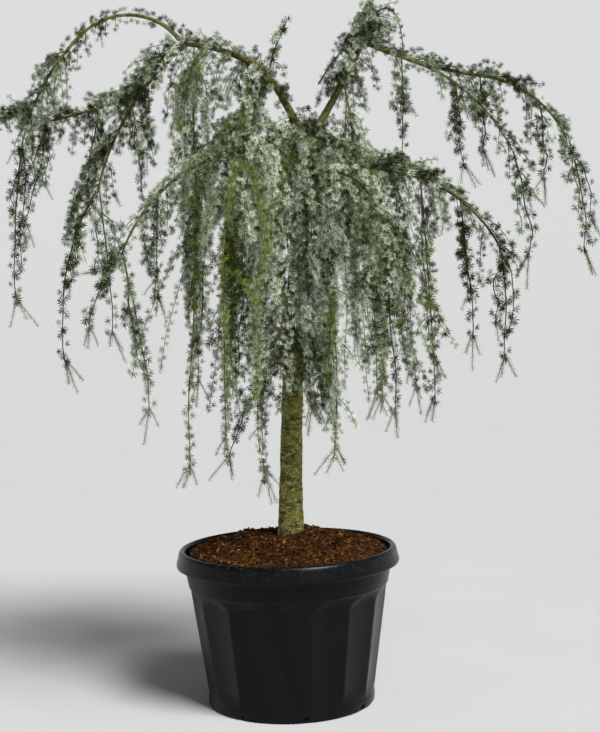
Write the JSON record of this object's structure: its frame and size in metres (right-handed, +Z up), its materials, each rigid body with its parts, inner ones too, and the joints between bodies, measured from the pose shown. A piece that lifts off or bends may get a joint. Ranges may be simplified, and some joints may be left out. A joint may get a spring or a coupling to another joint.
{
  "type": "weeping blue cedar tree in a nursery pot",
  "caption": "Weeping blue cedar grafted as a standard, with arching boughs, long hanging strands of blue-grey needles and a bare lower trunk, in a round fluted black nursery pot.",
  "frame": {"origin": "centre of the pot's flat underside, on the surface that it stands on", "axes": "+Z up, +X along the wide side of the crown, -Y towards the side that the crown shows as its front"},
  "size_m": [2.1457, 1.309, 2.4801],
  "materials": {
    "pot_plastic": "satin",
    "compost": "matte",
    "trunk_bark": "matte",
    "bough_bark": "matte",
    "needles": "matte",
    "twig_bark": "matte"
  },
  "bodies": {
    "root": {"pot": "pot_plastic", "soil": "compost", "trunk": "trunk_bark", "left_leader": "bough_bark", "left_leader_top": "bough_bark", "left_arch_crest": "bough_bark", "left_arch_fall": "bough_bark", "left_inner_bough": "bough_bark", "left_low_bough": "bough_bark", "mid_left_bough": "bough_bark", "mid_left_fall": "bough_bark", "right_leader": "bough_bark", "right_arch_bough": "bough_bark", "right_arch_fall": "bough_bark", "right_second_bough": "bough_bark", "mid_right_bough": "bough_bark", "mid_right_fall": "bough_bark", "front_left_bough": "bough_bark", "front_right_bough": "bough_bark", "back_left_bough": "bough_bark", "back_right_bough": "bough_bark", "young_shoot": "needles", "left_arch_tip": "needles", "left_shoulder_tuft": "needles", "left_low_strand": "needles", "left_low_drape": "needles", "left_inner_shoulder": "needles", "left_inner_drape": "needles", "left_outer_strand": "needles", "left_inner_tail": "needles", "mid_left_tail_outer": "needles", "mid_left_tail": "needles", "mid_left_drape": "needles", "left_long_strand": "needles", "left_curtain_outer": "needles", "left_curtain_inner": "needles", "low_left_spray": "needles", "right_tuft": "needles", "right_long_drape": "needles", "right_arch_drape": "needles", "right_fall_drape": "needles", "right_arch_tip": "needles", "right_second_drape": "needles", "right_second_tip": "needles", "mid_right_shoulder": "needles", "mid_right_drape": "needles", "mid_right_tip": "needles", "mid_right_strand": "needles", "right_long_strand": "needles", "right_curtain_outer": "needles", "right_curtain_inner": "needles", "trunk_front_curtain": "needles", "front_left_drape": "needles", "front_left_strand": "needles", "front_right_drape": "needles", "front_right_strand": "needles", "back_left_drape": "needles", "back_left_strand": "needles", "back_right_drape": "needles", "back_right_strand": "needles"}
  },
  "joints": []
}
